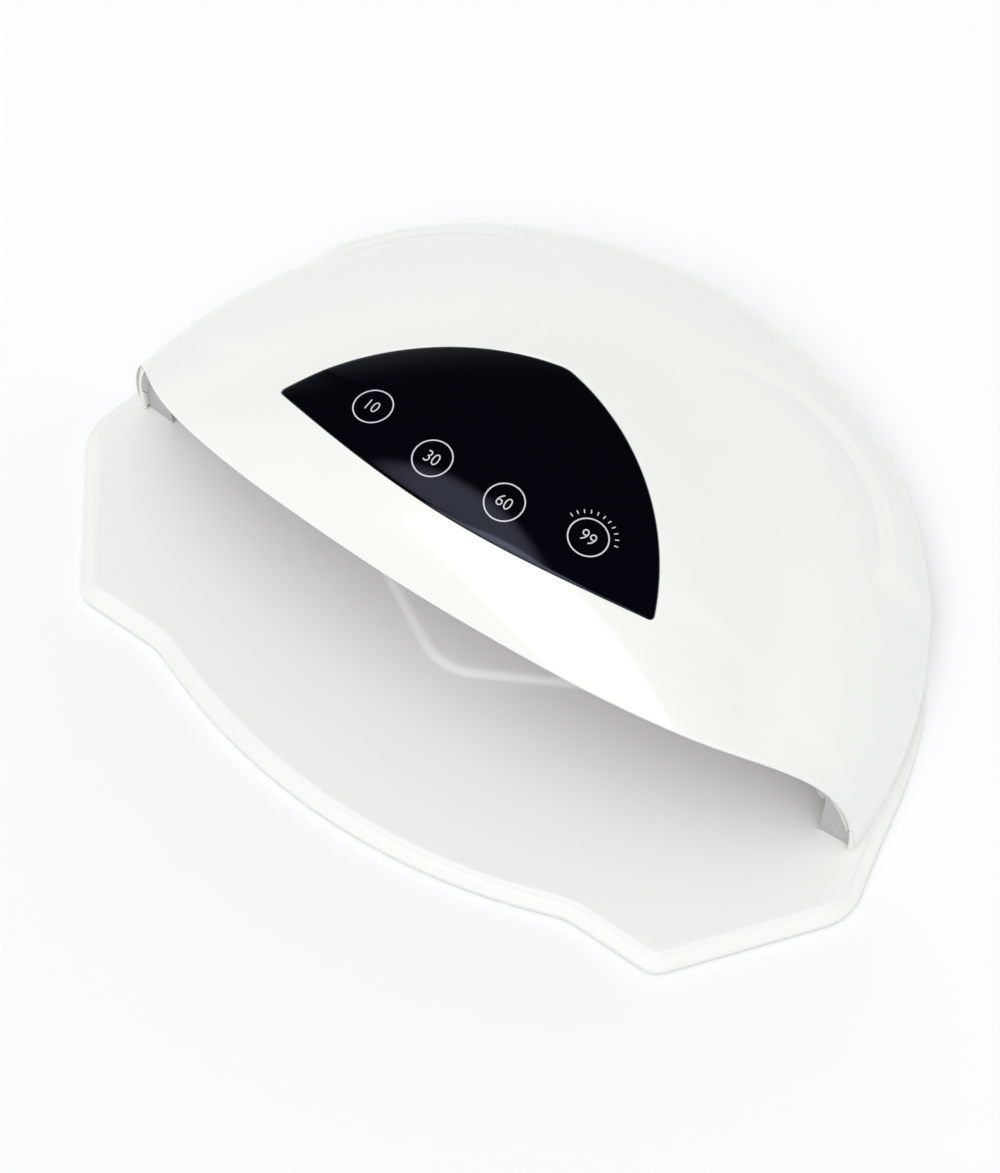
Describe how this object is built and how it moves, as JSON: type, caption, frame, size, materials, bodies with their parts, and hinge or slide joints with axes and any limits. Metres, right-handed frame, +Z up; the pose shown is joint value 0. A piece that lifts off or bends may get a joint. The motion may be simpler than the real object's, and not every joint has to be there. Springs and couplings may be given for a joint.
{
  "type": "led nail lamp",
  "caption": "Desktop lamp that dries nail polish: a domed white head over an open hand chamber, touch panel on top, resting on a lift-off base tray.",
  "frame": {"origin": "centre of the bounding box's underside, on the plane of the base's rubber pads", "axes": "+Z up; -Y towards the open mouth and the user; +X to the lamp's right when seen from the mouth's side looking to +Y; X = 0 is the plane of symmetry"},
  "size_m": [0.3006, 0.227, 0.1026],
  "materials": {
    "shell_plastic": "gloss white moulded housing",
    "base_plastic": "satin white moulding",
    "foot_rubber": "soft grey pad",
    "magnet_metal": "bright plating",
    "screw_steel": "zinc plated",
    "panel_black": "polished black window",
    "liner_plastic": "silver grey reflector",
    "board_laminate": "white solder mask",
    "lens_clear": "clear moulded cup",
    "chip_resin": "yellowish resin",
    "sensor_black": "dark filter plastic",
    "spring_steel": "bare spring wire",
    "connector_plastic": "natural nylon",
    "component_black": "moulded component",
    "connector_black": "moulded inlet",
    "contact_metal": "plated contact"
  },
  "bodies": {
    "base": {"base_tray": "base_plastic", "base_bottom_plate": "base_plastic", "base_feet": "foot_rubber", "base_magnets": "magnet_metal", "base_screws": "screw_steel"},
    "lamp_head": {"upper_shell": "shell_plastic", "panel_lens": "panel_black", "chamber_liner": "liner_plastic", "head_magnets": "magnet_metal", "shell_screws": "screw_steel", "led_board_roof": "board_laminate", "led_board_right": "board_laminate", "led_board_left": "board_laminate", "led_board_rear": "board_laminate", "led_lenses_roof": "lens_clear", "led_lenses_right": "lens_clear", "led_lenses_left": "lens_clear", "led_lenses_rear": "lens_clear", "led_chips": "chip_resin", "hand_sensors": "sensor_black", "control_board": "board_laminate", "display_module": "sensor_black", "touch_springs": "spring_steel", "board_connector": "connector_plastic", "driver_board": "board_laminate", "driver_components": "component_black", "dc_jack_body": "connector_black", "dc_jack_pin": "contact_metal"}
  },
  "joints": [
    {"name": "head_lift", "type": "slide", "parent": "base", "child": "lamp_head", "axis": [0, 0, 1], "range_m": [0, 0.12]}
  ]
}
